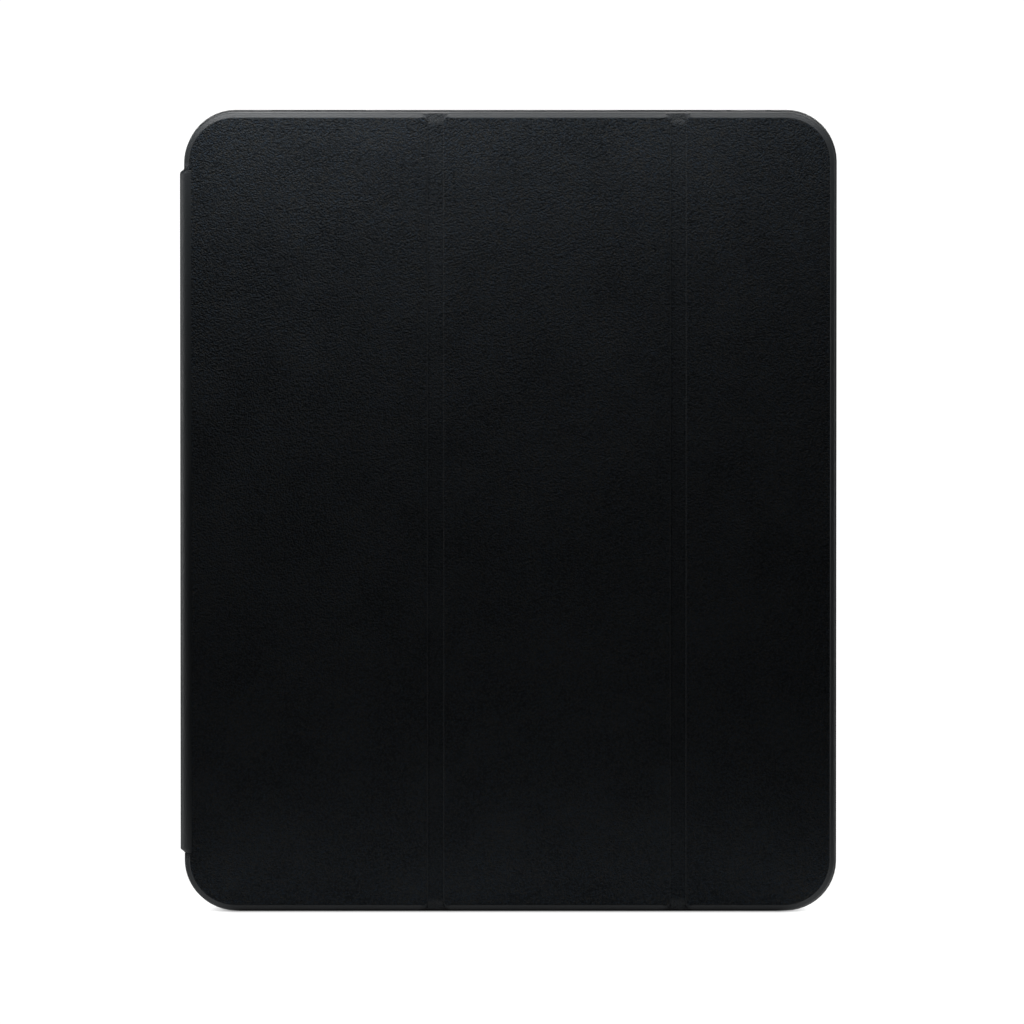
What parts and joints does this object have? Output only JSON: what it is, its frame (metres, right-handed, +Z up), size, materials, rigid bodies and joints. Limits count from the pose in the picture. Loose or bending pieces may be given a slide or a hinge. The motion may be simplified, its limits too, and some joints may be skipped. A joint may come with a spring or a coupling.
{
  "type": "tablet case",
  "caption": "Book-style tablet case: a lined tray with a stylus channel, joined by a spine to a cover of stiff panels with fold lines, standing closed.",
  "frame": {"origin": "on the surface the case stands on, under the middle of its closed box", "axes": "+Z up the long side, -Y out of the front cover, +X from the spine to the free edge"},
  "size_m": [0.235, 0.0136, 0.287],
  "materials": {
    "cover_skin": "fine-grained near-black coated synthetic leather, satin",
    "lining": "dark grey brushed microfibre, matt",
    "board": "grey pressed board",
    "bumper": "matt black soft moulded polyurethane",
    "hard_back": "matt black hard plastic",
    "buttons": "satin black plastic",
    "steel": "plated steel"
  },
  "bodies": {
    "tray": {"bumper_frame": "bumper", "back_plate": "hard_back", "inner_lining": "lining", "back_skin": "cover_skin", "camera_ring": "bumper", "rear_hinge_skin": "cover_skin"},
    "spine": {"spine_skin": "cover_skin", "spine_board": "board", "spine_lining": "lining"},
    "front_wrap": {"front_hinge_skin": "cover_skin", "front_hinge_lining": "lining"},
    "panel_1": {"panel_1_skin": "cover_skin", "panel_1_board": "board", "panel_1_lining": "lining", "keeper_strip": "steel"},
    "crease_1": {"crease_1_skin": "cover_skin", "crease_1_lining": "lining"},
    "panel_2": {"panel_2_skin": "cover_skin", "panel_2_board": "board", "panel_2_lining": "lining"},
    "crease_2": {"crease_2_skin": "cover_skin", "crease_2_lining": "lining"},
    "panel_3": {"panel_3_skin": "cover_skin", "panel_3_board": "board", "panel_3_lining": "lining", "closure_magnet_top": "steel", "closure_magnet_middle": "steel", "closure_magnet_bottom": "steel"},
    "power": {"power_button": "buttons"},
    "volume_up": {"volume_up_button": "buttons"},
    "volume_down": {"volume_down_button": "buttons"}
  },
  "joints": [
    {"name": "spine_hinge", "type": "hinge", "parent": "tray", "child": "spine", "pos_m": [-0.1177, 0.0067, 0.1435], "axis": [0, 0, -1], "range_deg": [0, 90]},
    {"name": "cover_hinge", "type": "hinge", "parent": "spine", "child": "front_wrap", "pos_m": [-0.1177, -0.00398, 0.1435], "axis": [0, 0, -1], "range_deg": [0, 135]},
    {"name": "wrap_hinge", "type": "hinge", "parent": "front_wrap", "child": "panel_1", "pos_m": [-0.11413, -0.007, 0.1435], "axis": [0, 0, -1], "range_deg": [0, 135]},
    {"name": "fold_1", "type": "hinge", "parent": "panel_1", "child": "crease_1", "pos_m": [-0.0286, -0.00455, 0.1435], "axis": [0, 0, 1], "range_deg": [0, 138]},
    {"name": "lift_1", "type": "hinge", "parent": "crease_1", "child": "panel_2", "pos_m": [-0.0236, -0.00695, 0.1435], "axis": [0, 0, -1], "range_deg": [0, 135]},
    {"name": "fold_2", "type": "hinge", "parent": "panel_2", "child": "crease_2", "pos_m": [0.0584, -0.00455, 0.1435], "axis": [0, 0, 1], "range_deg": [0, 111]},
    {"name": "lift_2", "type": "hinge", "parent": "crease_2", "child": "panel_3", "pos_m": [0.0632, -0.00695, 0.1435], "axis": [0, 0, -1], "range_deg": [0, 110]},
    {"name": "power_press", "type": "slide", "parent": "tray", "child": "power", "axis": [0, 0, -1], "range_m": [0, 0.0006], "stiffness_N_per_m": 900},
    {"name": "volume_up_press", "type": "slide", "parent": "tray", "child": "volume_up", "axis": [-1, 0, 0], "range_m": [0, 0.0006], "stiffness_N_per_m": 900},
    {"name": "volume_down_press", "type": "slide", "parent": "tray", "child": "volume_down", "axis": [-1, 0, 0], "range_m": [0, 0.0006], "stiffness_N_per_m": 900}
  ],
  "couplings": [
    {"joint": "fold_1", "follows": "cover_hinge", "ratio": 1.022},
    {"joint": "fold_2", "follows": "cover_hinge", "ratio": 0.822}
  ]
}
